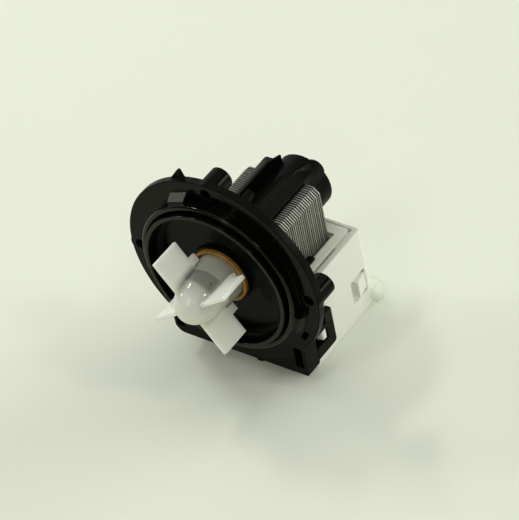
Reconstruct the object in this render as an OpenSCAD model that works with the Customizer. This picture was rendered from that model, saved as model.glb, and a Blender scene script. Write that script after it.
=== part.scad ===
// Drain pump of a washing machine. Millimetres, Z up.
// The pump's axis runs along Y through the origin, the flange's front face is the plane y = 0,
// the impeller stands in front of it (towards -Y) and the motor behind it.

/* [Flange] */
// Radius of the round mounting flange
flange_r = 40; // [38:0.5:46]
// Thickness of the flange plate
flange_t = 3.2; // [2.4:0.1:4.5]
// Distance from the rim in to the centres of the screw holes
screw_inset = 4; // [3.6:0.1:5]
// Diameter of the screw holes
screw_d = 4.2; // [3.2:0.1:5.2]
// Wall of the screw posts round their holes
post_wall = 2.3; // [1.5:0.1:3]
// Rear end of the screw posts, from the flange's front face
post_end = 10.3; // [6:0.1:14]
// Height of the ratchet tooth above the rim
tooth_rise = 3.4; // [2:0.1:6]
// Thickness of the ratchet tooth
tooth_t = 1.4; // [0.8:0.1:2]
// Rear end of the stop tab behind the rim, from the flange's front face
tab_end = 7.3; // [5:0.1:9]

/* [Foot] */
// How far each side of the flat foot stands out past the coil cover
foot_overhang = 4; // [3.4:0.1:5]
// Height of the foot's side walls
foot_rise = 13; // [11:0.5:15]
// Rear edge of the foot's walls, from the flange's front face
foot_depth = 7.7; // [5:0.1:9]
// Thickness of the foot's walls
foot_wall = 1.3; // [1:0.1:2]
// Radius of the foot's left corner
foot_corner = 4; // [1:0.5:5]
// Width of the slots in the foot
slot_w = 3.2; // [2:0.1:4]
// Height of the slots in the foot
slot_h = 9; // [5:0.5:9.5]

/* [Cup and rings] */
// Distance from the rim in to the outer ring
ring_inset = 8; // [7:0.1:10]
// Thickness of the outer ring
ring_w = 1.8; // [1:0.1:2.5]
// Height of the outer ring in front of the flange
ring_h = 4.1; // [2:0.1:6]
// Width of the groove between the two rings
groove_w = 0.9; // [0.8:0.1:2.5]
// Thickness of the inner lip
lip_w = 1.5; // [0.8:0.05:2]
// Height of the inner lip in front of the flange
lip_h = 6; // [4:0.1:8]
// Radius of the fillet round the cup's floor
cup_fillet = 2.4; // [1:0.1:3.5]
// How far the bayonet lugs stand out from the outer ring
lug_rise = 1.6; // [1:0.1:2.8]
// How much further the bayonet lugs stand out at their root
lug_draft = 1.8; // [0:0.1:2.2]
// Angle that each bayonet lug spans
lug_arc = 13.6; // [8:0.2:20]

/* [Side loops] */
// Thickness of the loops
loop_t = 2.5; // [1.6:0.1:3]
// Gap between the coil cover and the loops
loop_gap = 1.3; // [0.8:0.1:1.8]
// Depth of each loop's window, along the pump's axis
window_d = 7.2; // [5:0.1:9]
// Height of each loop's window
window_h = 5.1; // [4:0.1:7]
// Width of the bar behind the window
rear_bar = 4.4; // [2:0.1:6]
// Width of the bar under the window
low_bar = 5; // [2:0.1:6]
// Width of the bar over the window
top_bar = 2; // [1.2:0.1:3]
// Height of each loop's rear bar above the window
bar_rise = 6; // [3:0.5:12]

/* [Rotor can] */
// Outer radius of the can
can_r = 11.3; // [10.5:0.1:12.5]
// Wall of the can
can_wall = 1.2; // [0.8:0.1:1.5]
// How far the can reaches past the stator core
can_tail = 12.55; // [11.5:0.05:16]
// Thickness of the can's end wall
end_wall = 2; // [1.2:0.1:3]
// Radius of the stub on the can's end
stub_r = 4; // [2.5:0.1:6]
// Length of the stub on the can's end
stub_len = 6.95; // [3:0.05:10]
// Half the gap between the two ribs on the can
rib_half_gap = 6; // [4.5:0.1:7]
// Width of each rib
rib_w = 4.4; // [3:0.1:4.6]
// Height of the ribs above the can
rib_rise = 3.8; // [2:0.1:6]
// Width of the flat on top of each rib
rib_land = 0.8; // [0.4:0.1:2]
// How far the rib's top falls to its outer edge
rib_fall = 2; // [0.5:0.1:3]
// How far the rib's sloped side reaches past the stator core
rib_side = 5; // [2:0.1:8]

/* [Stator core] */
// Half the width of the core
core_half_w = 16.2; // [15.6:0.1:18]
// Height of the legs above the pump's axis
core_top = 11.7; // [10:0.1:14]
// Chamfer on the legs' outer top edges
core_chamfer = 2.4; // [1:0.1:3.5]
// Front face of the core, from the flange's front face
core_front = 17.1; // [16.6:0.1:20]
// Number of steel sheets
sheet_count = 22; // [18:1:28]
// Pitch of the sheets
sheet_pitch = 1.09; // [0.9:0.01:1.3]
// Depth of the lines between the sheets
sheet_line = 0.3; // [0.1:0.05:0.5]
// Width of the legs and of the yoke
leg_w = 9.2; // [8.4:0.1:10]
// Gap between the can and the poles
pole_gap = 0.3; // [0.2:0.05:0.6]

/* [Coils] */
// How far the can sinks into the bobbin's top plate
can_nest = 0.7; // [0.3:0.1:0.9]
// Thickness of the bobbin's top plate
plate_t = 2; // [1.8:0.1:3]
// Height of the windings
coil_h = 21.6; // [18:0.1:26]
// Thickness of the windings
coil_t = 3.7; // [2.5:0.1:4.2]
// Wall of the spools
spool_wall = 1; // [0.8:0.1:1.4]
// Thickness of the spools' floor
spool_floor = 1.2; // [0.9:0.1:2]
// Length of the thermal cutout
cutout_len = 16; // [10:0.5:18]
// Height of the thermal cutout
cutout_h = 12; // [6:0.5:16]

/* [Coil cover] */
// Thickness of the cover's side walls
cover_side = 2.4; // [1.6:0.1:3]
// Thickness of the cover's front and rear walls
cover_end = 1.6; // [1.2:0.1:2.4]
// Thickness of the cover's floor
cover_floor = 1.8; // [1.2:0.1:3]
// Room beside the windings
side_room = 1.4; // [1.3:0.1:2]
// Room before and behind the windings
end_room = 0.6; // [0.4:0.1:1.5]
// Radius of the cover's upright corners
cover_corner = 1.5; // [0.5:0.1:2.2]
// Length of the snap windows
snap_len = 9; // [7:0.1:10.5]
// Height of the snap windows
snap_h = 11; // [7:0.5:13]
// Length of the snap ramps on the bobbin
ramp_len = 6.3; // [4:0.1:7.5]
// How far the snap ramps stand out from the cover
ramp_rise = 1.1; // [0.4:0.1:1.6]

/* [Connector] */
// How far the connector stands out past the cover's side
conn_out = 2.1; // [0:0.1:3]
// Width of the connector
conn_w = 18.7; // [17:0.1:22]
// Height of the connector
conn_h = 7.8; // [7.2:0.1:9]
// Depth of the connector
conn_d = 4.3; // [3.6:0.1:8]
// Wall of the connector
conn_wall = 1.2; // [0.8:0.1:1.4]
// Pitch of the terminal tabs
tab_pitch = 6; // [5.5:0.1:7]
// Width of the terminal tabs
tab_w = 2.8; // [2:0.1:3.5]
// Thickness of the terminal tabs
tab_t = 0.8; // [0.5:0.1:1]

/* [Impeller] */
// Radius over the blades
impeller_r = 20.6; // [18:0.1:24]
// Number of blades
blade_count = 4; // [3:1:6]
// Turn of the first blade from the X axis
blade_turn = 34.6; // [0:0.1:90]
// Thickness of the blades
blade_t = 1.6; // [1:0.1:2.5]
// Front edge of the blades, in front of the flange
blade_front = 21; // [19:0.1:24]
// Length of the blades along the axis
blade_len = 12.7; // [9:0.1:14]
// Radius of the step at the blades' root
root_r = 12.8; // [11:0.1:16]
// Rear end of the blades' root, in front of the flange
root_end = 5.1; // [3.5:0.1:7]
// Outer radius of the hub
hub_r = 8.5; // [7.8:0.1:9.2]
// Wall of the hub
hub_wall = 1.3; // [1:0.1:1.8]
// Front of the hub's dome, in front of the flange
dome_front = 25.2; // [25:0.1:29]
// Outer radius of the hub's skirt
skirt_r = 9.5; // [9.3:0.1:9.8]
// Rear end of the hub's skirt, behind the flange's front face
skirt_end = 0.8; // [0:0.1:2]

/* [Rotor] */
// Diameter of the shaft
shaft_d = 4; // [3:0.1:5]
// Air gap between the magnet and the can
magnet_gap = 0.8; // [0.4:0.05:1.2]
// Wall of the sleeve between shaft and magnet
sleeve_t = 3; // [2:0.1:4]
// How far the magnet reaches past each face of the core
magnet_over = 0.5; // [0:0.1:0.8]
// Thickness of the thrust washers
washer_t = 0.8; // [0.5:0.1:1.2]
// Width of the thrust washers' rings
washer_w = 2.5; // [1.5:0.1:3.5]

/* [Drive dog] */
// Wall of the dog's collar on the shaft
collar_t = 1.4; // [1:0.1:2]
// Length of the dog's vane
vane_len = 6.2; // [4:0.1:6.5]
// Angle that the vane spans
vane_arc = 50; // [30:1:70]
// Angle that each rubber pad spans
pad_arc = 10; // [6:1:20]
// Angle that the stop inside the hub spans
stop_arc = 50; // [30:1:70]
// Thickness of the cap behind the vane
cap_t = 2; // [1.2:0.1:2.8]

/* [Bearings and seals] */
// Wall of the bearing bushes
bush_wall = 2; // [1.4:0.1:2.2]
// Length of the bearing carrier
carrier_len = 9; // [7:0.1:9.4]
// Thickness of the cord of the carrier's seal
cord_d = 1.7; // [1.2:0.1:2]
// Thickness of the rubber cushion round the rear bush
cushion_t = 2.2; // [1.5:0.1:2.4]
// Depth of the rear bush's socket
socket_d = 6.6; // [5:0.1:7.2]
// Wall of the rear bush's socket
socket_wall = 1.4; // [0.9:0.1:1.6]
// Width of the amber ring
seal_w = 1.4; // [1:0.1:1.8]
// How far the amber ring stands out from the cup's floor
seal_out = 2.7; // [2:0.1:3.2]
// How deep the amber ring sits in the can's mouth
seal_d = 2.9; // [2:0.1:4]

/* [Fits] */
// Radial gap of a running fit
run_gap = 0.05; // [0.02:0.01:0.1]
// Gap of a seat
seat_gap = 0.05; // [0.02:0.01:0.1]
// Gap between pieces that stay clear of each other
clear = 0.3; // [0.2:0.05:0.4]

/* [Hidden] */
$fn = 64;

// Overlap of fused shapes, how far a cut runs past its piece, spare room in a pocket, play of the drive
merge = 0.5;
past = 1;
spare = 0.1;
play = 0.4;

// The flange and its rings
screw_circle_r = flange_r - screw_inset;
screw_angles = [0, 90, 180];
post_r = screw_d / 2 + post_wall;
ring_r = flange_r - ring_inset;
ring_in_r = ring_r - ring_w;
lip_r = ring_in_r - groove_w;
cup_r = lip_r - lip_w;
edge_bevel = 0.5;
lug_angles = [110, 226, 341];
lug_hole_arc = 7;
lug_hole_turn = 5.2;
lug_hole_angle = lug_angles[2] - lug_arc / 2 - lug_hole_turn;
lug_hole_gap = 1.9;
lug_hole_r = ring_r + lug_rise + lug_hole_gap;
lug_hole_w = 2;
lug_hole_floor = 0.8;
tooth_angles = [104.7, 105.3, 106.6, 115.3];
stop_tab_angles = [66.5, 70.6];
stop_tab_h = 6;

// The motor along the axis
core_depth = sheet_count * sheet_pitch;
core_rear = core_front + core_depth;
core_mid = core_front + core_depth / 2;
can_end = core_rear + can_tail;
can_bore_r = can_r - can_wall;
bore_end = can_end - end_wall;

// The coils and their cover
leg_in = core_half_w - leg_w;
leg_room = 0.3;
spool_x0 = leg_in - leg_room - spool_wall;
spool_x1 = core_half_w + leg_room + spool_wall;
spool_y0 = core_front - leg_room - spool_wall;
spool_y1 = core_rear + leg_room + spool_wall;
coil_x1 = spool_x1 + coil_t;
coil_y0 = spool_y0 - coil_t;
coil_y1 = spool_y1 + coil_t;
cover_in_w = coil_x1 + side_room;
cover_in_y0 = coil_y0 - end_room;
cover_in_y1 = coil_y1 + end_room;
cover_half_w = cover_in_w + cover_side;
cover_y0 = cover_in_y0 - cover_end;
cover_y1 = cover_in_y1 + cover_end;
cover_top = can_nest - can_r;
coil_z1 = cover_top - plate_t;
coil_z0 = coil_z1 - coil_h;
floor_z = coil_z0 - spool_floor;
yoke_top = floor_z - clear;
core_bottom = yoke_top - leg_w;
cover_in_z = core_bottom - clear;
cover_bottom = cover_in_z - cover_floor;
plate_gap = 1;
plate_opening = 0.8;
plate_slot = 1;
coil_corner = 2.5;

// The snap windows and ramps
snap_inset = 1.9;
snap_drop = 17.8;
snap_y1 = cover_y1 - snap_inset;
snap_y0 = snap_y1 - snap_len;
snap_z1 = cover_top - snap_drop;
snap_z0 = snap_z1 - snap_h;
snap_room = 0.2;
arm_x0 = coil_x1 + snap_room + seat_gap;
arm_t = 0.9;
arm_past = 1;
ramp_lead = 0.2;
ramp_margin = 1.7;
pad_inset = 1.3;

// The foot, its walls and the side loops
foot_half_w = cover_half_w + foot_overhang;
foot_top = foot_rise - flange_r;
slot_low = 3.6;
slot_wall = 1;
slot_x1 = foot_half_w - foot_wall;
slot_x0 = slot_x1 - slot_w;
slot_z0 = slot_low - flange_r;
slot_z1 = slot_z0 + slot_h;
nub_x = 7.8;
nub_w = 2.4;
nub_h = 0.9;
loop_x = cover_half_w + loop_gap;
loop_lift = 1;
loop_corner = 1.5;
loop_root = 1.7;
window_lead = 1.9;
window_y0 = cover_y0 - window_lead;
window_y1 = window_y0 + window_d;
window_z0 = loop_lift + low_bar - flange_r;
window_z1 = window_z0 + window_h;
loop_y1 = window_y1 + rear_bar;
lug_room = 0.4;
lug_ramp = 1.2;
rest_reach = 10.6;
rest_y1 = core_front + rest_reach;
rest_x0 = core_half_w + play;
rest_w = 2.6;
rest_t = 1.2;

// The ribs on the can
rib_x1 = rib_half_gap + rib_w;
rib_top = can_r + rib_rise;
rib_root = 3.5;
rib_level = 0.9;
rib_slope_y = core_rear + rib_level;
rib_side_y = core_rear + rib_side;
rib_back = 3.65;
rib_end = can_end - rib_back;
rib_low = 2.7;
rib_clear = 0.15;
sheet_share = 0.62;

// The connector
conn_x1 = cover_half_w + conn_out;
conn_x0 = conn_x1 - conn_w;
conn_lift = 0.2;
conn_z0 = cover_bottom + conn_lift;
conn_z1 = conn_z0 + conn_h;
conn_y1 = cover_y1 + conn_d;
tab_x = [for (s = [-1, 1]) (conn_x0 + conn_x1 + s * tab_pitch) / 2];
tab_z = (conn_z0 + conn_z1) / 2;
tab_root = 2;
tab_recess = 1;
tab_y0 = core_rear + tab_root;
tab_y1 = conn_y1 - tab_recess;
tab_tip = 0.8;
tab_room = 0.2;
block_wall = 1.2;

// The rotor, its bearings and the drive
shaft_r = shaft_d / 2;
shaft_bevel = 0.4;
seal_r = skirt_r + play + seal_w;
seal_round = seal_w / 2;
mouth_r = seal_r + seat_gap;
mouth_d = seal_d + spare;
brim_w = 0.8;
brim_r = mouth_r + brim_w;
brim_h = seal_out - seal_w;
collar_wall = 1.8;
collar_floor = 3;
collar_r = mouth_r + collar_wall;
collar_d = mouth_d + collar_floor;
bush_r = shaft_r + bush_wall;
carrier_y0 = mouth_d + clear;
carrier_y1 = carrier_y0 + carrier_len;
cushion_r = bush_r + cushion_t;
socket_y0 = bore_end - socket_d;
rear_bush_y1 = bore_end - seat_gap;
front_washer_y = carrier_y1 + clear;
rear_washer_y = socket_y0 - clear - washer_t;
sleeve_y0 = front_washer_y + washer_t;
sleeve_r = shaft_r + sleeve_t;
magnet_r = can_bore_r - magnet_gap;
dome_y = hub_r - dome_front;
hub_in_r = hub_r - hub_wall;
dog_r = shaft_r + collar_t;
skirt_taper = 4;
vane_inset = 2.1;
vane_y0 = dome_y + vane_inset;
vane_y1 = vane_y0 + vane_len;
vane_r = hub_in_r - play;
dog_tail = 0.7;
dog_y1 = skirt_end + dog_tail;
cap_y0 = vane_y1 + play;
shaft_nose = 4.4;
shaft_y0 = vane_y0 - shaft_nose;
shaft_y1 = bore_end - clear;
boss_y0 = hub_wall - dome_front;
stop_turn = 180;

// Extrudes an outline of the XZ plane from y0 to y1
module along_y(y0, y1) {
    translate([0, y1, 0]) rotate([90, 0, 0]) linear_extrude(y1 - y0) children();
}

// Extrudes an outline of the YZ plane from x0 to x1
module along_x(x0, x1) {
    translate([x0, 0, 0]) rotate([90, 0, 90]) linear_extrude(x1 - x0) children();
}

// Extrudes an outline of the XY plane from z0 to z1
module along_z(z0, z1) {
    translate([0, 0, z0]) linear_extrude(z1 - z0) children();
}

// Turns an outline of radius and y round the pump's axis
module turned() {
    rotate([-90, 0, 0]) rotate_extrude() children();
}

module rod(r, y0, y1) {
    along_y(y0, y1) circle(r);
}

module tube(r_out, r_in, y0, y1) {
    along_y(y0, y1) difference() {
        circle(r_out);
        circle(r_in);
    }
}

module box(low, high) {
    translate(low) cube(high - low);
}

// Sector of a ring, less than half a turn, from angle a0 to a1
module sector(r_in, r_out, a0, a1) {
    reach = 2 * r_out;
    mid = (a0 + a1) / 2;
    difference() {
        intersection() {
            circle(r_out);
            polygon([
                [0, 0],
                reach * [cos(a0), sin(a0)],
                reach * [cos(mid), sin(mid)],
                reach * [cos(a1), sin(a1)]
            ]);
        }
        circle(r_in);
    }
}

// Rectangle with round corners, between two opposite corners
module round_rect(low, high, r) {
    union() {
        translate(low + [r, 0]) square([high[0] - low[0] - 2 * r, high[1] - low[1]]);
        translate(low + [0, r]) square([high[0] - low[0], high[1] - low[1] - 2 * r]);
        for (x = [low[0] + r, high[0] - r]) for (y = [low[1] + r, high[1] - r]) translate([x, y]) circle(r);
    }
}

// Both halves of a shape that is modelled on the right
module both_sides() {
    children();
    mirror([1, 0, 0]) children();
}

// The flange's plate with its foot, as an outline
module flange_outline() {
    difference() {
        union() {
            circle(flange_r);
            translate([-foot_half_w, -flange_r]) square([2 * foot_half_w, foot_rise]);
        }
        translate([-foot_half_w, -flange_r]) difference() {
            translate([-merge, -merge]) square(foot_corner + merge);
            translate([foot_corner, foot_corner]) circle(foot_corner);
        }
    }
}

// Tooth at the rear of the rim, with a short flat tip
module rim_tooth() {
    along_y(flange_t - tooth_t, flange_t) polygon([
        for (i = [0:3]) (i == 1 || i == 2 ? flange_r + tooth_rise : flange_r - merge)
            * [cos(tooth_angles[i]), sin(tooth_angles[i])]
    ]);
}

module foot_walls() {
    side_low = foot_corner - flange_r;
    for (s = [-1, 1]) {
        x0 = s > 0 ? foot_half_w - foot_wall : -foot_half_w;
        box([x0, 0, s > 0 ? -flange_r : side_low], [x0 + foot_wall, foot_depth, foot_top]);
    }
    box([foot_corner - foot_half_w, 0, -flange_r], [foot_half_w, foot_depth, foot_wall - flange_r]);
    both_sides() box([slot_x0 - slot_wall, 0, slot_z0 - slot_wall],
        [foot_half_w, foot_depth, min(slot_z1 + slot_wall, foot_top)]);
    box([nub_x - nub_w / 2, 0, -flange_r - nub_h], [nub_x + nub_w / 2, flange_t / 2, merge - flange_r]);
}

// Ring that the bayonet lugs are cut from, wider at its root
module lug_band() {
    turned() polygon([
        [ring_in_r, merge], [ring_r + lug_rise + lug_draft, merge], [ring_r + lug_rise + lug_draft, 0],
        [ring_r + lug_rise, edge_bevel - ring_h], [ring_in_r, edge_bevel - ring_h]
    ]);
}

module cup_rings() {
    turned() polygon([
        [ring_in_r, merge], [ring_r, merge], [ring_r, edge_bevel - ring_h],
        [ring_r - edge_bevel, -ring_h], [ring_in_r, -ring_h]
    ]);
    tube(lip_r, cup_r, -lip_h, merge);
    turned() translate([cup_r - cup_fillet, -cup_fillet]) difference() {
        square(cup_fillet);
        circle(cup_fillet);
    }
    for (a = lug_angles) intersection() {
        lug_band();
        along_y(-ring_h, merge) sector(ring_in_r, flange_r, a - lug_arc / 2, a + lug_arc / 2);
    }
}

module side_loop() {
    along_x(loop_x, loop_x + loop_t) difference() {
        union() {
            translate([foot_depth - loop_root, window_z0 - low_bar])
                square([loop_y1 - foot_depth + loop_root, low_bar + window_h + top_bar]);
            translate([window_y1, window_z0 - low_bar])
                square([rear_bar, low_bar + window_h + bar_rise]);
        }
        translate([window_y0, window_z0]) square([window_d, window_h]);
        translate([loop_y1 - loop_corner, window_z0 - low_bar]) difference() {
            translate([0, -merge]) square(loop_corner + merge);
            translate([0, loop_corner]) circle(loop_corner);
        }
    }
}

// The right rib: a thin upright wall, with a sloped side that ends behind the core
module can_rib() {
    intersection() {
        union() {
            along_y(flange_t - merge, rib_side_y) polygon([
                [rib_half_gap, 0], [rib_half_gap, rib_top], [rib_half_gap + rib_land, rib_top],
                [rib_x1, rib_top - rib_fall], [rib_x1, rib_root], [rib_x1 - merge, 0]
            ]);
            along_y(flange_t - merge, rib_end) translate([rib_half_gap, 0]) square([rib_land, rib_top]);
        }
        along_x(0, 2 * rib_x1) polygon([
            [0, 0], [0, rib_top], [rib_slope_y, rib_top], [rib_end, rib_top - rib_low], [rib_end, 0]
        ]);
    }
}

// Tongue beside the core, on the bobbin's top plate
module core_rest() {
    z0 = cover_top + seat_gap;
    box([rest_x0, flange_t - merge, z0], [rest_x0 + rest_w, rest_y1, z0 + rest_t]);
}

module flange_can() {
    color("#26282a") difference() {
        union() {
            along_y(0, flange_t) flange_outline();
            rim_tooth();
            along_y(0, tab_end)
                sector(flange_r - stop_tab_h, flange_r, stop_tab_angles[0], stop_tab_angles[1]);
            foot_walls();
            cup_rings();
            for (a = screw_angles) {
                translate(screw_circle_r * [cos(a), 0, sin(a)]) rod(post_r, 0, post_end);
            }
            both_sides() {
                side_loop();
                can_rib();
                core_rest();
            }
            rod(brim_r, -brim_h, merge);
            rod(collar_r, 0, collar_d);
            rod(can_r, 0, can_end);
            turned() polygon([
                [0, can_end - merge], [stub_r, can_end - merge], [stub_r, can_end + stub_len - edge_bevel],
                [stub_r - edge_bevel, can_end + stub_len], [0, can_end + stub_len]
            ]);
        }
        for (a = screw_angles) {
            translate(screw_circle_r * [cos(a), 0, sin(a)]) rod(screw_d / 2, -past, post_end + past);
        }
        along_y(-past, flange_t - lug_hole_floor) sector(lug_hole_r, lug_hole_r + lug_hole_w,
            lug_hole_angle - lug_hole_arc / 2, lug_hole_angle + lug_hole_arc / 2);
        both_sides() box([slot_x0, -past, slot_z0], [slot_x1, foot_depth - slot_wall, slot_z1]);
        rod(mouth_r, -brim_h - past, mouth_d);
        difference() {
            rod(can_bore_r, 0, bore_end);
            tube(cushion_r + seat_gap + socket_wall, cushion_r + seat_gap, socket_y0, can_end);
        }
    }
}

// Round in front, it sits in the mouth and stands out of the brim
module seal_ring() {
    front = seal_round - seal_out;
    color("#a8742c") turned() {
        translate([seal_r - seal_w, front]) square([seal_w, seal_d - front]);
        translate([seal_r - seal_round, front]) circle(seal_round);
    }
}

module bearing_carrier() {
    cord_r = cord_d / 2;
    mid = (carrier_y0 + carrier_y1) / 2;
    color("#3a3c3e") difference() {
        tube(can_bore_r - seat_gap, bush_r + seat_gap, carrier_y0, carrier_y1);
        tube(can_bore_r + past, can_bore_r - cord_d - spare, mid - cord_r - spare, mid + cord_r + spare);
    }
}

module carrier_o_ring() {
    mid = (carrier_y0 + carrier_y1) / 2;
    color("#1c1c1c") turned() translate([can_bore_r - seat_gap - cord_d / 2, mid]) circle(cord_d / 2);
}

module front_bush() {
    color("#8c8478") tube(bush_r, shaft_r + run_gap, carrier_y0, carrier_y1);
}

module rear_bush() {
    color("#8c8478") tube(bush_r, shaft_r + run_gap, socket_y0, rear_bush_y1);
}

module rear_cushion() {
    color("#1c1c1c") tube(cushion_r, bush_r + seat_gap, socket_y0, rear_bush_y1);
}

module rotor_shaft() {
    color("#c8ccd0") turned() polygon([
        [0, shaft_y0], [shaft_r - shaft_bevel, shaft_y0], [shaft_r, shaft_y0 + shaft_bevel],
        [shaft_r, shaft_y1 - shaft_bevel], [shaft_r - shaft_bevel, shaft_y1], [0, shaft_y1]
    ]);
}

module rotor_sleeve() {
    color("#d8d8d0") tube(sleeve_r, shaft_r + seat_gap, sleeve_y0, rear_washer_y);
}

module rotor_magnet() {
    color("#4a4846") tube(magnet_r, sleeve_r + seat_gap, core_front - magnet_over, core_rear + magnet_over);
}

module thrust_washers() {
    for (y = [front_washer_y, rear_washer_y]) {
        color("#e8e4d8") tube(shaft_r + washer_w, shaft_r + seat_gap, y, y + washer_t);
    }
}

// The vane points up at rest
module drive_dog() {
    color("#6a7074") difference() {
        union() {
            rod(dog_r, vane_y0, dog_y1);
            along_y(vane_y0, vane_y1) sector(shaft_r, vane_r, 90 - vane_arc / 2, 90 + vane_arc / 2);
        }
        rod(shaft_r + seat_gap, vane_y0 - past, dog_y1 + past);
    }
}

module dog_pads() {
    for (s = [-1, 1]) {
        a = 90 + s * (vane_arc + pad_arc) / 2;
        color("#1c1c1c") along_y(vane_y0, vane_y1)
            sector(dog_r + seat_gap, vane_r, a - pad_arc / 2, a + pad_arc / 2);
    }
}

module clutch_cap() {
    color("#e4e4dc") tube(hub_in_r - seat_gap, dog_r + run_gap, cap_y0, cap_y0 + cap_t);
}

module blade() {
    linear_extrude(blade_t, center = true) polygon([
        [0, -blade_front], [impeller_r, -blade_front], [impeller_r, blade_len - blade_front],
        [root_r, blade_len - blade_front], [root_r, -root_end], [0, -root_end]
    ]);
}

// The hub's outside: a dome, a straight hub and a skirt that widens towards the cup's floor
module hub_outside() {
    turned() {
        intersection() {
            translate([0, dome_y]) circle(hub_r);
            translate([0, -dome_front]) square([hub_r, hub_r]);
        }
        polygon([
            [0, dome_y], [hub_r, dome_y], [hub_r, -root_end - skirt_taper], [skirt_r, -root_end],
            [skirt_r, skirt_end], [0, skirt_end]
        ]);
    }
}

module hub_inside() {
    turned() {
        intersection() {
            translate([0, dome_y]) circle(hub_in_r);
            translate([0, -dome_front]) square([hub_r, hub_r]);
        }
        translate([0, dome_y]) square([hub_in_r, skirt_end + past - dome_y]);
    }
}

module impeller() {
    color("#ecece4") {
        difference() {
            union() {
                hub_outside();
                for (i = [0:blade_count - 1]) rotate([0, -blade_turn - i * 360 / blade_count, 0]) blade();
            }
            hub_inside();
        }
        difference() {
            union() {
                rod(dog_r, boss_y0, vane_y0 - play);
                along_y(dome_y - spare, cap_y0 - seat_gap) sector(dog_r + play, hub_in_r + hub_wall / 2,
                    90 + stop_turn - stop_arc / 2, 90 + stop_turn + stop_arc / 2);
            }
            rod(shaft_r + run_gap, shaft_y0 - play, vane_y0);
        }
    }
}

// The U-shaped sheet, its outside drawn in by the given step
module core_outline(step) {
    half_w = core_half_w - step;
    top = core_top - step;
    notch = rib_x1 + rib_clear + step;
    difference() {
        polygon([
            [-half_w, core_bottom], [half_w, core_bottom], [half_w, top - core_chamfer],
            [half_w - core_chamfer, top], [core_chamfer - half_w, top], [-half_w, top - core_chamfer]
        ]);
        translate([-leg_in, yoke_top]) square([2 * leg_in, -yoke_top]);
        circle(can_r + pole_gap);
        translate([-notch, 0]) square([2 * notch, core_top + past]);
    }
}

module stator_core() {
    sheet_t = sheet_pitch * sheet_share;
    color("#9a9c98") {
        along_y(core_front, core_rear) core_outline(sheet_line);
        for (i = [0:sheet_count - 1]) {
            y = core_front + i * sheet_pitch;
            along_y(y, y + sheet_t) core_outline(0);
        }
    }
}

// Opening for the right leg, with the given room round it
module leg_opening(room) {
    translate([leg_in - room, core_front - room]) square([leg_w + 2 * room, core_depth + 2 * room]);
}

module spool_outline() {
    translate([spool_x0, spool_y0]) square([spool_x1 - spool_x0, spool_y1 - spool_y0]);
}

// Arm beside the right winding, with a pad that fills the cover's window and a catch on the pad
module snap_arm() {
    y1 = snap_y1 - snap_room;
    y0 = y1 - ramp_len;
    z0 = snap_z0 + snap_room;
    z1 = snap_z1 - snap_room;
    box([arm_x0, snap_y0 - arm_past, z0 - arm_past], [arm_x0 + arm_t, y1, cover_top - plate_t / 2]);
    box([arm_x0, snap_y0 + snap_room, z0], [cover_half_w - pad_inset, y1, z1]);
    along_z(z0 + ramp_margin, z1 - ramp_margin) polygon([
        [arm_x0, y0], [cover_half_w + ramp_rise, y0 + ramp_lead], [cover_half_w - snap_room, y1], [arm_x0, y1]
    ]);
}

// Cut that keeps the bobbin and the cover clear of the can
module can_saddle() {
    rod(can_r + 2 * clear, cover_y0 - past, cover_y1 + past);
}

module bobbin() {
    plate_x = cover_in_w - plate_gap;
    block_x0 = tab_x[0] - tab_t / 2 - block_wall;
    block_x1 = tab_x[1] + tab_t / 2 + block_wall;
    color("#dcded4") difference() {
        union() {
            along_z(coil_z1, cover_top) difference() {
                round_rect([-plate_x, cover_in_y0 + clear], [plate_x, cover_in_y1 - clear], cover_corner);
                both_sides() {
                    leg_opening(plate_opening);
                    translate([plate_slot, 0]) leg_opening(plate_opening);
                }
            }
            both_sides() {
                along_z(floor_z, coil_z1 + merge) difference() {
                    spool_outline();
                    leg_opening(leg_room);
                }
                snap_arm();
            }
            along_z(floor_z, coil_z0) difference() {
                translate([-coil_x1, coil_y0]) square([2 * coil_x1, coil_y1 - coil_y0]);
                both_sides() leg_opening(leg_room);
            }
            box([block_x0, core_rear + clear, cover_in_z + clear], [block_x1, coil_y1, coil_z0]);
        }
        can_saddle();
        for (x = tab_x) {
            box([x - tab_t / 2 - seat_gap, tab_y0 - seat_gap, tab_z - tab_w / 2 - seat_gap],
                [x + tab_t / 2 + seat_gap, coil_y1 + past, tab_z + tab_w / 2 + seat_gap]);
        }
    }
}

// The right winding
module winding() {
    color("#b06a38") along_z(coil_z0 + seat_gap, coil_z1 - seat_gap) difference() {
        round_rect([spool_x0 - coil_t, coil_y0], [coil_x1, coil_y1], coil_corner);
        translate([spool_x0 - seat_gap, spool_y0 - seat_gap])
            square([spool_x1 - spool_x0 + 2 * seat_gap, spool_y1 - spool_y0 + 2 * seat_gap]);
    }
}

module winding_right() {
    winding();
}

module winding_left() {
    mirror([1, 0, 0]) winding();
}

module thermal_cutout() {
    half_t = spool_x0 - coil_t - clear;
    color("#d0c8a8") along_z(coil_z0 + seat_gap, coil_z0 + cutout_h)
        round_rect([-half_t, core_mid - cutout_len / 2], [half_t, core_mid + cutout_len / 2], half_t / 2);
}

// Lug that sits in the right side loop
module cover_lug() {
    x0 = cover_half_w - merge;
    x1 = loop_x + loop_t - clear;
    y0 = cover_y0 + cover_corner;
    y1 = window_y1 - lug_room;
    along_z(window_z0 + lug_room, window_z1 - lug_room)
        polygon([[x0, y0], [x1, y0 + lug_ramp], [x1, y1], [x0, y1]]);
}

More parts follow.
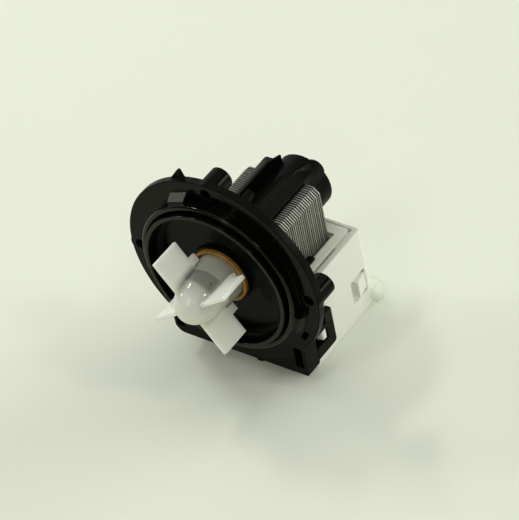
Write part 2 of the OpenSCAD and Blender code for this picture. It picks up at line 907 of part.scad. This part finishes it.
module coil_cover() {
    color("#e4e6dc") difference() {
        union() {
            along_z(cover_bottom, cover_top)
                round_rect([-cover_half_w, cover_y0], [cover_half_w, cover_y1], cover_corner);
            both_sides() cover_lug();
        }
        box([-cover_in_w, cover_in_y0, cover_in_z], [cover_in_w, cover_in_y1, cover_top + past]);
        can_saddle();
        both_sides() box([cover_in_w - past, snap_y0, snap_z0], [cover_half_w + past, snap_y1, snap_z1]);
        for (x = tab_x) {
            box([x - tab_t / 2 - tab_room, cover_in_y1 - past, tab_z - tab_w / 2 - tab_room],
                [x + tab_t / 2 + tab_room, cover_y1 + past, tab_z + tab_w / 2 + tab_room]);
        }
    }
}

// Shroud on the cover's rear wall, which is the socket's bottom
module connector_housing() {
    color("#eceee8") along_y(cover_y1, conn_y1) difference() {
        round_rect([conn_x0, conn_z0], [conn_x1, conn_z1], conn_wall / 2);
        translate([conn_x0 + conn_wall, conn_z0 + conn_wall])
            square([conn_w - 2 * conn_wall, conn_h - 2 * conn_wall]);
    }
}

module terminal_tabs() {
    for (x = tab_x) {
        color("#c8b890") along_x(x - tab_t / 2, x + tab_t / 2) polygon([
            [tab_y0, tab_z - tab_w / 2], [tab_y1 - tab_tip, tab_z - tab_w / 2], [tab_y1, tab_z - tab_w / 4],
            [tab_y1, tab_z + tab_w / 4], [tab_y1 - tab_tip, tab_z + tab_w / 2], [tab_y0, tab_z + tab_w / 2]
        ]);
    }
}

flange_can();
seal_ring();
bearing_carrier();
carrier_o_ring();
front_bush();
rear_bush();
rear_cushion();
rotor_shaft();
rotor_sleeve();
rotor_magnet();
thrust_washers();
drive_dog();
dog_pads();
clutch_cap();
impeller();
stator_core();
bobbin();
winding_left();
winding_right();
thermal_cutout();
coil_cover();
connector_housing();
terminal_tabs();
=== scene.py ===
"""Looks of a washing machine's drain pump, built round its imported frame.

Metres, Z up, the pump's axis along Y with the impeller in front.
"""
import math

import bpy
from mathutils import Matrix, Vector


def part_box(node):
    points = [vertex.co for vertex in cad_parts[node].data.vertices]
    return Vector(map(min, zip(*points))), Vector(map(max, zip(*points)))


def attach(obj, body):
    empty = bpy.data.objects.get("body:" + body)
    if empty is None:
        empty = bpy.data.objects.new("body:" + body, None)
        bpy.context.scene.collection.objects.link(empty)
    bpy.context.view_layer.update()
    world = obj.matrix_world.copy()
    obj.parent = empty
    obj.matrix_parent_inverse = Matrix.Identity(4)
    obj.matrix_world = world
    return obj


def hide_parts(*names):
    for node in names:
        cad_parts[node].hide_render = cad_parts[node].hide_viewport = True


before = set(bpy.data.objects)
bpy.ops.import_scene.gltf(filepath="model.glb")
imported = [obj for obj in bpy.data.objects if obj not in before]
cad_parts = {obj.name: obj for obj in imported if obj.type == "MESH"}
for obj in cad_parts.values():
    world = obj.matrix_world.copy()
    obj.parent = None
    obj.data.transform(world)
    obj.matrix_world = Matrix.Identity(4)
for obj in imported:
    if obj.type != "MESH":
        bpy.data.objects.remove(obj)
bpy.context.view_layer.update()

MM = 0.001

# The photo's view: degrees, metres, and the lens for a sensor of 36 mm
VIEW_AZIMUTH = 42.092
VIEW_ELEVATION = 41.504
VIEW_ROLL = -12.425
VIEW_DISTANCE = 1.00269
VIEW_SHIFT = (0.01276, 0.00419)
VIEW_LENS = 198.05

# Soft lights turned to the pump: middle, width, length, power and roll in degrees of each.
# A ceiling panel, two low windows behind the pump, a fill behind the camera,
# a panel at the left, then slim lamps at the back left, the left, the right and the front
LIGHTS = (
    ((-0.03, 0.30, 1.38), 1.6, 1.6, 6.9, 0),
    ((1.40, 2.00, 0.68), 1.6, 1.0, 36.0, 0),
    ((-1.20, 1.35, 0.60), 1.2, 0.8, 4.2, 0),
    ((0.70, -1.00, 1.10), 0.8, 0.8, 2.1, 0),
    ((-1.25, -0.08, 0.60), 0.35, 0.3, 1.7, 0),
    ((-0.92, 0.27, 1.02), 0.11, 0.32, 4.0, -65),
    ((-1.21, -0.21, 0.67), 0.09, 0.20, 2.0, 25),
    ((0.97, 0.13, 0.97), 0.13, 0.18, 1.9, 77),
    ((-0.10, -0.94, 1.16), 0.16, 0.66, 3.2, 9),
)
WORLD_STRENGTH = 0.2
FLOOR_SIZE = 6.0
FLOOR_COLOUR = (0.738, 0.772, 0.632)

# Tint of the light that the black and the white plastic throw back
GLOSS_TINT = (0.95, 1.0, 0.64, 1)
HUB_TINT = (0.98, 1.0, 0.84, 1)

# Sizes of the moulding and the motor, as in the solids
FLANGE_R = 40 * MM
RING_R = 32 * MM
CUP_R = 27.8 * MM
CUP_FILLET = 2.4 * MM
SHEET_PITCH = 1.09 * MM
SHEET_SHARE = (0.48, 0.58)
LUG_TURNS = (110, 226, 341)
LUG_ARC = 13.6
LUG_R = (33.6 * MM, 35.4 * MM)
HUB_R = 8.5 * MM
DOME_Y = -16.7 * MM
DOME_START = -14 * MM
DOME_CUTS = 4
SKIRT_R = 9.5 * MM
VANE_Y = (-14.8 * MM, -8.6 * MM)
# Where the painted shade of the drive lies on the hub: its reach past the vane, the turns over which that
# reach changes, the turns where it shows, and how soft its sides are
BAND_REACH = (1.6 * MM, 0.7 * MM)
BAND_TURN = (math.radians(60), math.radians(115))
BAND_SHOWN = (math.radians(36), math.radians(140))
BAND_SOFT = math.radians(14)

# Round marks of the moulds: millimetres along X and Z on the cup's floor, and a place on the hub
EJECTOR_MARKS = ((-13.3, 9.8), (11.0, -10.4), (-3.1, 14.9))
EJECTOR_R = 2 * MM
EJECTOR_PROUD = 0.04 * MM
GATE_TURN = math.radians(54.8)
GATE_Y = -12.5 * MM
GATE_R = 0.35 * MM
GATE_PROUD = 0.03 * MM

# A mark's thickness, rim, step to the dish and edge rounding, as shares of its radius
MARK_DEPTH = 0.16
MARK_RIM = 0.14
MARK_STEP = 0.05
MARK_EDGE = 0.015

# Gloss of the black plastic, and how far matt places and polished rings depart from it
BLACK_ROUGHNESS = (0.11, 0.15)
BLACK_SPECULAR = 0.08
MATT_ROUGHER = 0.28
MATT_DULLER = -0.036
RING_ROUGHER = -0.02
RING_BRIGHTER = 0.115

# Edges sharper than this stay edges, and points nearer than this to a surface count as on it
SHARP_EDGE = 34
ON_SURFACE = 0.05 * MM

core_low, core_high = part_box("stator_core")
cover_low, cover_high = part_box("coil_cover")


class Finish:
    """A procedural material: a Principled shader and short calls that add nodes to it."""

    def __init__(self, name, **constants):
        self.material = bpy.data.materials.new(name)
        self.material.use_nodes = True
        self.tree = self.material.node_tree
        self.shader = self.tree.nodes["Principled BSDF"]
        for socket, value in constants.items():
            self.shader.inputs[socket.replace("_", " ")].default_value = value
        self.shader.inputs["Subsurface Radius"].default_value = (1, 1, 0.9)
        self.place = self.node("ShaderNodeTexCoord").outputs["Object"]

    def node(self, kind, **settings):
        """A node of that kind with its settings."""
        node = self.tree.nodes.new(kind)
        for setting, value in settings.items():
            setattr(node, setting, value)
        return node

    def feed(self, socket, value):
        """Links an output to a socket, or sets the socket to a constant."""
        if isinstance(value, bpy.types.NodeSocket):
            self.tree.links.new(value, socket)
        else:
            socket.default_value = value

    def sum(self, operation, a, b=0.0, c=0.0, clamp=False):
        """One step of arithmetic."""
        node = self.node("ShaderNodeMath", operation=operation, use_clamp=clamp)
        for socket, value in zip(node.inputs, (a, b, c)):
            self.feed(socket, value)
        return node.outputs[0]

    def axes(self):
        """The place along X, Y and Z."""
        node = self.node("ShaderNodeSeparateXYZ")
        self.feed(node.inputs[0], self.place)
        return node.outputs

    def radius(self):
        """Distance from the pump's axis."""
        x, _, z = self.axes()
        return self.sum("SQRT", self.sum("ADD", self.sum("MULTIPLY", x, x), self.sum("MULTIPLY", z, z)))

    def rise(self, value, low, high):
        """0 below low, 1 above high, smooth between them."""
        node = self.node("ShaderNodeMapRange", interpolation_type="SMOOTHSTEP")
        for socket, part in zip(("Value", "From Min", "From Max"), (value, low, high)):
            self.feed(node.inputs[socket], part)
        return node.outputs["Result"]

    def between(self, value, low, high, soft):
        """1 from low to high, with soft ends."""
        up = self.rise(value, low - soft, low + soft)
        down = self.rise(value, high - soft, high + soft)
        return self.sum("SUBTRACT", up, down, clamp=True)

    def noise(self, size, detail=3.0, stretch=(1, 1, 1), seed=0.0):
        """Noise whose spots are about size metres across."""
        node = self.node("ShaderNodeTexNoise", noise_dimensions="4D")
        mapping = self.node("ShaderNodeMapping")
        mapping.inputs["Scale"].default_value = stretch
        self.feed(mapping.inputs["Vector"], self.place)
        self.feed(node.inputs["Vector"], mapping.outputs["Vector"])
        for socket, value in (("Scale", 1 / size), ("Detail", detail), ("W", seed)):
            node.inputs[socket].default_value = value
        return node.outputs["Fac"]

    def spread(self, value, low, high):
        """Noise about 0.5 drawn out to run from low to high."""
        node = self.node("ShaderNodeMapRange")
        parts = {"Value": value, "From Min": 0.3, "From Max": 0.7, "To Min": low, "To Max": high}
        for socket, part in parts.items():
            self.feed(node.inputs[socket], part)
        return node.outputs["Result"]

    def mix(self, share, a, b):
        """Colour a where share is 0, colour b where it is 1."""
        node = self.node("ShaderNodeMix", data_type="RGBA")
        self.feed(node.inputs["Factor"], share)
        for socket, colour in ((node.inputs[6], a), (node.inputs[7], b)):
            self.feed(socket, colour if isinstance(colour, bpy.types.NodeSocket) else (*colour, 1))
        return node.outputs[2]

    def colour(self, value):
        """Sets the surface's own colour."""
        self.feed(self.shader.inputs["Base Color"], value)

    def roughness(self, value):
        """Sets how far the gloss is spread."""
        self.feed(self.shader.inputs["Roughness"], value)

    def bump(self, height, depth):
        """Fine relief, depth metres high."""
        node = self.node("ShaderNodeBump")
        node.inputs["Distance"].default_value = depth
        node.inputs["Strength"].default_value = 1
        self.feed(node.inputs["Height"], height)
        self.feed(self.shader.inputs["Normal"], node.outputs["Normal"])


def black_moulding():
    """Black plastic: matt on the rim, the tail and the cup's corner, satin in the cup, polished rings."""
    finish = Finish("black_moulding", Specular_Tint=GLOSS_TINT)
    radius = finish.radius()
    y = finish.axes()[1]
    front = finish.sum("MULTIPLY", y, -1)
    grain = finish.noise(0.35 * MM, 2)
    clouds = finish.noise(14 * MM, 4, seed=2)
    finish.colour(finish.mix(clouds, (0.0014, 0.0017, 0.0012), (0.0021, 0.0025, 0.0018)))
    rings = finish.sum("MULTIPLY", finish.between(radius, CUP_R - CUP_FILLET, RING_R + 0.2 * MM, 0.2 * MM),
                       finish.rise(front, 0.4 * MM, 1.2 * MM))
    floor = finish.sum("MULTIPLY", finish.rise(finish.sum("MULTIPLY", radius, -1), -CUP_R, -CUP_R + MM),
                       finish.rise(front, -0.8 * MM, -0.4 * MM))
    tail = finish.rise(y, core_high.y - 2 * MM, core_high.y + 4 * MM)
    gloss = finish.spread(clouds, *BLACK_ROUGHNESS)
    rim = finish.rise(radius, FLANGE_R - 0.6 * MM, FLANGE_R - 0.2 * MM)
    corner = finish.sum("MULTIPLY", finish.between(radius, CUP_R - CUP_FILLET, CUP_R + 0.3 * MM, 0.2 * MM),
                        finish.rise(y, -CUP_FILLET - 0.8 * MM, -CUP_FILLET))
    rings = finish.sum("SUBTRACT", rings, corner, clamp=True)
    matt = finish.sum("MULTIPLY_ADD", rim, 0.8, tail, clamp=True)
    matt = finish.sum("MULTIPLY_ADD", corner, 0.9, matt, clamp=True)
    soft = finish.sum("MULTIPLY_ADD", floor, 0.24, matt, clamp=True)
    satin = finish.sum("MULTIPLY_ADD", soft, MATT_ROUGHER, gloss)
    finish.roughness(finish.sum("MULTIPLY_ADD", rings, RING_ROUGHER, satin))
    dim = finish.sum("MULTIPLY_ADD", floor, 0.7, matt, clamp=True)
    dull = finish.sum("MULTIPLY_ADD", dim, MATT_DULLER, BLACK_SPECULAR)
    bright = finish.sum("MULTIPLY_ADD", rings, RING_BRIGHTER, dull)
    finish.feed(finish.shader.inputs["Specular IOR Level"], bright)
    finish.bump(grain, 0.003 * MM)
    return finish.material


def sheet_steel():
    """Edges of stamped sheets: each its own grey, dark lines between them, and painted shade on the top
    faces.
    """
    finish = Finish("sheet_steel", Metallic=0.5)
    x, y, z = finish.axes()
    count = finish.sum("DIVIDE", finish.sum("SUBTRACT", y, core_low.y), SHEET_PITCH)
    side = finish.rise(finish.sum("ABSOLUTE", x), core_high.x - 0.25 * MM, core_high.x - 0.1 * MM)
    share = finish.sum("MULTIPLY_ADD", side, SHEET_SHARE[1] - SHEET_SHARE[0], SHEET_SHARE[0])
    line = finish.sum("GREATER_THAN", finish.sum("FRACT", count), share)
    own = finish.node("ShaderNodeTexWhiteNoise", noise_dimensions="1D")
    finish.feed(own.inputs["W"], finish.sum("FLOOR", count))
    stains = finish.noise(2.5 * MM, 4, seed=5)
    grey = finish.mix(own.outputs["Value"], (0.20, 0.205, 0.175), (0.36, 0.365, 0.305))
    stains_and_top_shade = finish.mix(finish.spread(stains, 0, 0.35), grey, (0.18, 0.16, 0.12))
    # Painted shade: the top faces of the stack are painted halfway to a dark grey.
    top = finish.rise(z, core_high.z - 0.25 * MM, core_high.z - 0.1 * MM)
    stains_and_top_shade = finish.mix(finish.sum("MULTIPLY", top, 0.5), stains_and_top_shade, (0.07, 0.07, 0.058))
    finish.colour(finish.mix(line, stains_and_top_shade, (0.010, 0.010, 0.008)))
    finish.roughness(finish.spread(finish.noise(0.5 * MM, 3, (1, 0.2, 1), 3), 0.30, 0.52))
    finish.bump(finish.noise(0.25 * MM, 2, (0.3, 1, 0.3), 7), 0.015 * MM)
    return finish.material


def white_cover():
    """Off-white moulding of the coil cover, with painted shade along the tops of its walls, darkest on the
    side walls.
    """
    finish = Finish("white_cover", Specular_IOR_Level=0.4, Subsurface_Weight=0.45,
                    Subsurface_Scale=2.5 * MM)
    x, _, z = finish.axes()
    clouds = finish.noise(16 * MM, 4, seed=1)
    white = finish.mix(clouds, (0.76, 0.78, 0.68), (0.82, 0.84, 0.74))
    # Painted shade: the tops of the walls are painted darker, most of all on the side walls.
    brim = finish.rise(z, cover_high.z - 0.5 * MM, cover_high.z - 0.1 * MM)
    side = finish.rise(finish.sum("ABSOLUTE", x), cover_high.x - 3.4 * MM, cover_high.x - 2.8 * MM)
    brim_shade = finish.mix(side, (0.56, 0.56, 0.45), (0.34, 0.345, 0.275))
    finish.colour(finish.mix(finish.sum("MULTIPLY", brim, 0.85), white, brim_shade))
    finish.roughness(finish.spread(finish.noise(5 * MM, 3, seed=4), 0.36, 0.48))
    finish.bump(finish.noise(0.4 * MM, 2), 0.012 * MM)
    return finish.material


def bobbin_moulding():
    """White of the inner moulding, a darker beige on the plate at its top."""
    finish = Finish("bobbin_moulding", Specular_IOR_Level=0.4)
    clouds = finish.noise(9 * MM, 4, seed=6)
    z = finish.axes()[2]
    plate = finish.rise(z, cover_high.z - 5 * MM, cover_high.z - 3 * MM)
    white = finish.mix(clouds, (0.74, 0.76, 0.67), (0.80, 0.82, 0.73))
    beige = finish.mix(clouds, (0.60, 0.615, 0.485), (0.67, 0.685, 0.555))
    finish.colour(finish.mix(plate, white, beige))
    finish.roughness(finish.spread(clouds, 0.4, 0.55))
    finish.bump(finish.noise(0.4 * MM, 2, seed=1), 0.015 * MM)
    return finish.material


def impeller_moulding():
    """Translucent white with painted light and shade: lighter blades, a grey band for the drive inside the
    hub, and amber light from the ring on a shaded skirt.
    """
    finish = Finish("impeller_moulding", Subsurface_Weight=0.8, Subsurface_Scale=2.4 * MM,
                    Specular_IOR_Level=0.5, Specular_Tint=HUB_TINT)
    x, y, z = finish.axes()
    clouds = finish.noise(8 * MM, 4, seed=8)
    turn = finish.sum("ARCTAN2", z, x)
    hub = finish.sum("LESS_THAN", finish.radius(), HUB_R + 0.4 * MM)
    # Painted light: the thin blades are painted lighter than the hub, for the light that comes through
    # them.
    blade = finish.mix(clouds, (0.87, 0.88, 0.76), (0.91, 0.92, 0.80))
    white = finish.mix(hub, blade, finish.mix(clouds, (0.76, 0.77, 0.645), (0.81, 0.82, 0.695)))
    # Painted shade on the skirt behind the vane, turning near the flange into painted amber light from the
    # ring.
    skirt = finish.sum("MULTIPLY", finish.rise(y, VANE_Y[1] - 0.7 * MM, VANE_Y[1] - 0.1 * MM),
                       finish.sum("LESS_THAN", finish.radius(), SKIRT_R + 0.3 * MM))
    skirt_shade_and_glow = finish.mix(finish.rise(y, -5 * MM, -1.5 * MM), (0.37, 0.37, 0.305), (0.36, 0.27, 0.15))
    white = finish.mix(finish.sum("MULTIPLY", skirt, 0.85), white, skirt_shade_and_glow)
    # Painted shade of the dark drive inside: a grey band on the upper side of the hub, fading onto the
    # blade roots, with fainter shade further down the dome.
    shown = finish.between(turn, *BAND_SHOWN, BAND_SOFT)
    reach = finish.sum("MULTIPLY_ADD", finish.rise(turn, *BAND_TURN), BAND_REACH[1] - BAND_REACH[0],
                       BAND_REACH[0])
    low_edge = finish.rise(finish.sum("ADD", y, reach), VANE_Y[0] - 3 * MM, VANE_Y[0] + 2 * MM)
    high_edge = finish.rise(y, VANE_Y[1] - 0.8 * MM, VANE_Y[1] - 0.1 * MM)
    band = finish.sum("SUBTRACT", low_edge, high_edge, clamp=True)
    near = finish.rise(finish.sum("MULTIPLY", finish.radius(), -1), -HUB_R - 3.2 * MM, -HUB_R + 0.3 * MM)
    shade = finish.sum("MULTIPLY", finish.rise(y, DOME_Y - 7 * MM, DOME_Y + 1.2 * MM),
                       finish.sum("SUBTRACT", 0.55, high_edge, clamp=True))
    depth = finish.sum("MAXIMUM", finish.sum("MULTIPLY", band, 0.86), shade)
    share = finish.sum("MULTIPLY", finish.sum("MULTIPLY", depth, shown), near)
    finish.colour(finish.mix(share, white, (0.12, 0.13, 0.105)))
    finish.roughness(finish.spread(finish.noise(3 * MM, 3, seed=9), 0.09, 0.14))
    finish.bump(finish.noise(1.5 * MM, 2, seed=2), 0.004 * MM)
    return finish.material


def amber_rubber():
    """Smooth amber ring in two near ambers, a little translucent."""
    finish = Finish("amber_rubber", Subsurface_Weight=0.25, Subsurface_Scale=1.2 * MM)
    clouds = finish.noise(4 * MM, 3, seed=3)
    finish.colour(finish.mix(clouds, (0.28, 0.137, 0.016), (0.38, 0.193, 0.027)))
    finish.roughness(finish.spread(clouds, 0.22, 0.34))
    finish.bump(finish.noise(0.6 * MM, 2, seed=4), 0.01 * MM)
    return finish.material


def clear_moulding():
    """Translucent plastic of the connector."""
    finish = Finish("clear_moulding", Subsurface_Weight=0.2, Subsurface_Scale=2 * MM,
                    Transmission_Weight=0.9, IOR=1.2)
    clouds = finish.noise(5 * MM, 3, seed=5)
    finish.colour(finish.mix(clouds, (0.96, 0.98, 0.92), (0.98, 1.0, 0.94)))
    finish.roughness(finish.spread(clouds, 0.50, 0.62))
    finish.bump(finish.noise(0.6 * MM, 2, seed=6), 0.01 * MM)
    return finish.material


def plain_finish(name, low, high, rough, metallic=0.0, spot=3 * MM):
    """A finish for a piece inside the pump: two near colours, uneven gloss and a fine grain."""
    finish = Finish(name, Metallic=metallic)
    clouds = finish.noise(spot, 4, seed=len(name))
    finish.colour(finish.mix(clouds, low, high))
    finish.roughness(finish.spread(clouds, rough - 0.07, rough + 0.07))
    finish.bump(finish.noise(0.3 * MM, 2), 0.01 * MM)
    return finish.material


def dress(piece, material):
    """Gives a piece or a CAD node its finish."""
    piece.data.materials.clear()
    piece.data.materials.append(material)


def select_only(piece):
    """Makes a piece the only selected and the active one."""
    bpy.ops.object.select_all(action="DESELECT")
    bpy.context.view_layer.objects.active = piece
    piece.select_set(True)


def flat_lugs(piece):
    """Makes the outside of each bayonet lug flat."""
    for point in piece.data.vertices:
        x, y, z = point.co
        on_lug = LUG_R[0] - ON_SURFACE < math.hypot(x, z) < LUG_R[1] + ON_SURFACE
        if not on_lug or y > ON_SURFACE:
            continue
        for lug in LUG_TURNS:
            off = (math.degrees(math.atan2(z, x)) - lug + 180) % 360 - 180
            if abs(off) < LUG_ARC / 2 + 0.1:
                point.co = Vector((x, 0, z)) / math.cos(math.radians(off)) + Vector((0, y, 0))


def long_dome(piece):
    """Draws the hub's front in, so that its dome is longer than half a ball."""
    bpy.ops.object.mode_set(mode="EDIT")
    for cut in range(DOME_CUTS):
        bpy.ops.mesh.select_all(action="SELECT")
        y = DOME_START + (DOME_Y - DOME_START) * cut / DOME_CUTS
        bpy.ops.mesh.bisect(plane_co=(0, y, 0), plane_no=(0, 1, 0))
    bpy.ops.object.mode_set(mode="OBJECT")
    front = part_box("impeller")[0].y
    for point in piece.data.vertices:
        x, y, z = point.co
        outside = abs(math.hypot(x, min(0, y - DOME_Y), z) - HUB_R) < ON_SURFACE
        if outside and front < y < DOME_START:
            share = (y - DOME_START) / (front - DOME_START)
            drawn = HUB_R * math.sqrt(1 - share * share) / math.hypot(x, z)
            point.co = Vector((drawn * x, y, drawn * z))


def rounded(node, name, edge_r, material, body, segments=2, shape=None):
    """A copy of a CAD node with rounded edges, reshaped where asked, which stands for the node."""
    piece = bpy.data.objects.new(name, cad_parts[node].data.copy())
    bpy.context.scene.collection.objects.link(piece)
    select_only(piece)
    bpy.ops.object.mode_set(mode="EDIT")
    bpy.ops.mesh.select_all(action="SELECT")
    bpy.ops.mesh.remove_doubles(threshold=0.002 * MM)
    bpy.ops.mesh.dissolve_limited(angle_limit=math.radians(0.6))
    bpy.ops.object.mode_set(mode="OBJECT")
    if shape:
        shape(piece)
    bevel = piece.modifiers.new("edges", "BEVEL")
    bevel.width = edge_r
    bevel.segments = segments
    bevel.limit_method = "ANGLE"
    bevel.angle_limit = math.radians(SHARP_EDGE)
    bevel.use_clamp_overlap = False
    bevel.miter_outer = "MITER_ARC"
    bpy.ops.object.modifier_apply(modifier=bevel.name)
    bpy.ops.object.shade_smooth_by_angle(angle=math.radians(SHARP_EDGE))
    normals = piece.modifiers.new("normals", "WEIGHTED_NORMAL")
    normals.keep_sharp = True
    bpy.ops.object.modifier_apply(modifier=normals.name)
    dress(piece, material)
    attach(piece, body)
    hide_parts(node)


def round_mark(name, radius, proud, place, outward, material, body):
    """A shallow round mark in a face: a disc that stands a little proud, with a rim and a dished middle."""
    bpy.ops.object.select_all(action="DESELECT")
    bpy.ops.mesh.primitive_cylinder_add(vertices=64, radius=radius, depth=MARK_DEPTH * radius)
    piece = bpy.context.object
    piece.name = name
    select_only(piece)
    bpy.ops.object.mode_set(mode="EDIT")
    bpy.ops.mesh.select_mode(type="FACE")
    bpy.ops.mesh.select_all(action="DESELECT")
    bpy.ops.object.mode_set(mode="OBJECT")
    for face in piece.data.polygons:
        face.select = face.normal.z > 0.9
    bpy.ops.object.mode_set(mode="EDIT")
    bpy.ops.mesh.inset(thickness=MARK_RIM * radius, depth=0)
    bpy.ops.mesh.inset(thickness=MARK_STEP * radius, depth=-MARK_STEP * radius)
    bpy.ops.object.mode_set(mode="OBJECT")
    bevel = piece.modifiers.new("edges", "BEVEL")
    bevel.width = MARK_EDGE * radius
    bevel.segments = 2
    bevel.angle_limit = math.radians(40)
    bpy.ops.object.modifier_apply(modifier=bevel.name)
    bpy.ops.object.shade_smooth_by_angle(angle=math.radians(SHARP_EDGE))
    turn = Vector(outward).to_track_quat("Z", "Y").to_matrix().to_4x4()
    middle = Vector(place) + (proud - MARK_DEPTH / 2 * radius) * Vector(outward)
    piece.matrix_world = Matrix.Translation(middle) @ turn
    bpy.ops.object.transform_apply(location=True, rotation=True, scale=True)
    dress(piece, material)
    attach(piece, body)


def add_camera():
    """Camera at the photo's view, rolled as the photo is."""
    azimuth, elevation, roll = (math.radians(a) for a in (VIEW_AZIMUTH, VIEW_ELEVATION, VIEW_ROLL))
    level = Vector((math.cos(azimuth), math.sin(azimuth), 0))
    back = Vector((math.sin(azimuth) * math.cos(elevation), -math.cos(azimuth) * math.cos(elevation),
                   math.sin(elevation)))
    right = math.cos(roll) * level + math.sin(roll) * back.cross(level)
    up = back.cross(right)
    eye = VIEW_SHIFT[0] * right + VIEW_SHIFT[1] * up + VIEW_DISTANCE * back
    bpy.ops.object.camera_add()
    camera = bpy.context.object
    camera.matrix_world = Matrix.Translation(eye) @ Matrix((right, up, back)).transposed().to_4x4()
    camera.data.lens = VIEW_LENS
    camera.data.clip_start = 0.05
    camera.data.clip_end = 20
    bpy.context.scene.camera = camera


def add_stage():
    """Pale floor under the coil cover."""
    bpy.ops.object.select_all(action="DESELECT")
    bpy.ops.mesh.primitive_plane_add(size=FLOOR_SIZE, location=(0, 0, cover_low.z))
    floor = bpy.context.object
    floor.name = "floor"
    finish = Finish("pale_floor", Roughness=0.9, Specular_IOR_Level=0.1)
    clouds = finish.noise(0.4, 2)
    finish.colour(finish.mix(clouds, [0.985 * c for c in FLOOR_COLOUR], FLOOR_COLOUR))
    dress(floor, finish.material)


def add_lights():
    """Soft lights turned to the pump, and a dim plain world."""
    for place, width, length, power, roll in LIGHTS:
        bpy.ops.object.light_add(type="AREA")
        light = bpy.context.object
        light.data.shape = "RECTANGLE"
        light.data.size = width
        light.data.size_y = length
        light.data.energy = power
        turn = Vector(place).to_track_quat("Z", "Y").to_matrix().to_4x4()
        light.matrix_world = Matrix.Translation(place) @ turn @ Matrix.Rotation(math.radians(roll), 4, "Z")
    world = bpy.data.worlds.new("studio")
    bpy.context.scene.world = world
    world.use_nodes = True
    world.node_tree.nodes["Background"].inputs["Color"].default_value = (1, 1, 1, 1)
    world.node_tree.nodes["Background"].inputs["Strength"].default_value = WORLD_STRENGTH


add_camera()
add_stage()
add_lights()
bpy.context.scene.view_settings.view_transform = "Standard"

black = black_moulding()
rounded("flange_can", "black_flange", 0.25 * MM, black, "housing", shape=flat_lugs)
rounded("seal_ring", "amber_ring", 0.2 * MM, amber_rubber(), "housing")
rounded("impeller", "white_impeller", 0.16 * MM, impeller_moulding(), "impeller",
        shape=long_dome)
rounded("stator_core", "sheet_stack", 0.05 * MM, sheet_steel(), "housing", 1)
rounded("coil_cover", "white_box", 0.4 * MM, white_cover(), "housing", 3)
rounded("bobbin", "bobbin_plate", 0.2 * MM, bobbin_moulding(), "housing")
rounded("connector_housing", "clear_socket", 0.25 * MM, clear_moulding(), "housing")

for number, (x, z) in enumerate(EJECTOR_MARKS):
    round_mark("ejector_mark_%d" % number, EJECTOR_R, EJECTOR_PROUD, (x * MM, 0, z * MM), (0, -1, 0),
               black, "housing")
gate = plain_finish("gate_mark_grey", (0.03, 0.03, 0.03), (0.05, 0.05, 0.05), 0.4)
outward = Vector((math.cos(GATE_TURN), 0, math.sin(GATE_TURN)))
round_mark("gate_mark", GATE_R, GATE_PROUD, HUB_R * outward + Vector((0, GATE_Y, 0)), outward, gate,
           "impeller")

steel = plain_finish("ground_steel", (0.52, 0.52, 0.50), (0.62, 0.62, 0.60), 0.22, 1.0)
rubber = plain_finish("black_rubber", (0.012, 0.012, 0.012), (0.022, 0.022, 0.022), 0.65)
bronze = plain_finish("sintered_bronze", (0.26, 0.18, 0.10), (0.34, 0.25, 0.15), 0.45, 1.0, 0.8 * MM)
copper = plain_finish("enamelled_copper", (0.36, 0.14, 0.05), (0.48, 0.22, 0.09), 0.35, 0.8)
sleeve = plain_finish("cream_moulding", (0.62, 0.60, 0.50), (0.72, 0.70, 0.60), 0.45)
INNER = {
    "rotor_shaft": steel,
    "terminal_tabs": plain_finish("tinned_brass", (0.55, 0.50, 0.38), (0.66, 0.61, 0.48), 0.3, 1.0),
    "carrier_o_ring": rubber, "rear_cushion": rubber, "dog_pads": rubber,
    "front_bush": bronze, "rear_bush": bronze,
    "winding_left": copper, "winding_right": copper,
    "rotor_sleeve": sleeve, "thrust_washers": sleeve,
    "clutch_cap": plain_finish("cap_moulding", (0.66, 0.67, 0.58), (0.76, 0.77, 0.67), 0.35),
    "rotor_magnet": plain_finish("ferrite", (0.035, 0.033, 0.03), (0.06, 0.056, 0.05), 0.6),
    "drive_dog": plain_finish("grey_moulding", (0.12, 0.13, 0.13), (0.17, 0.18, 0.18), 0.5),
    "bearing_carrier": plain_finish("dark_grey_moulding", (0.04, 0.04, 0.042), (0.06, 0.06, 0.063), 0.5),
    "thermal_cutout": plain_finish("cutout_resin", (0.48, 0.43, 0.30), (0.60, 0.55, 0.40), 0.5),
}
for name, material in INNER.items():
    dress(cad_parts[name], material)
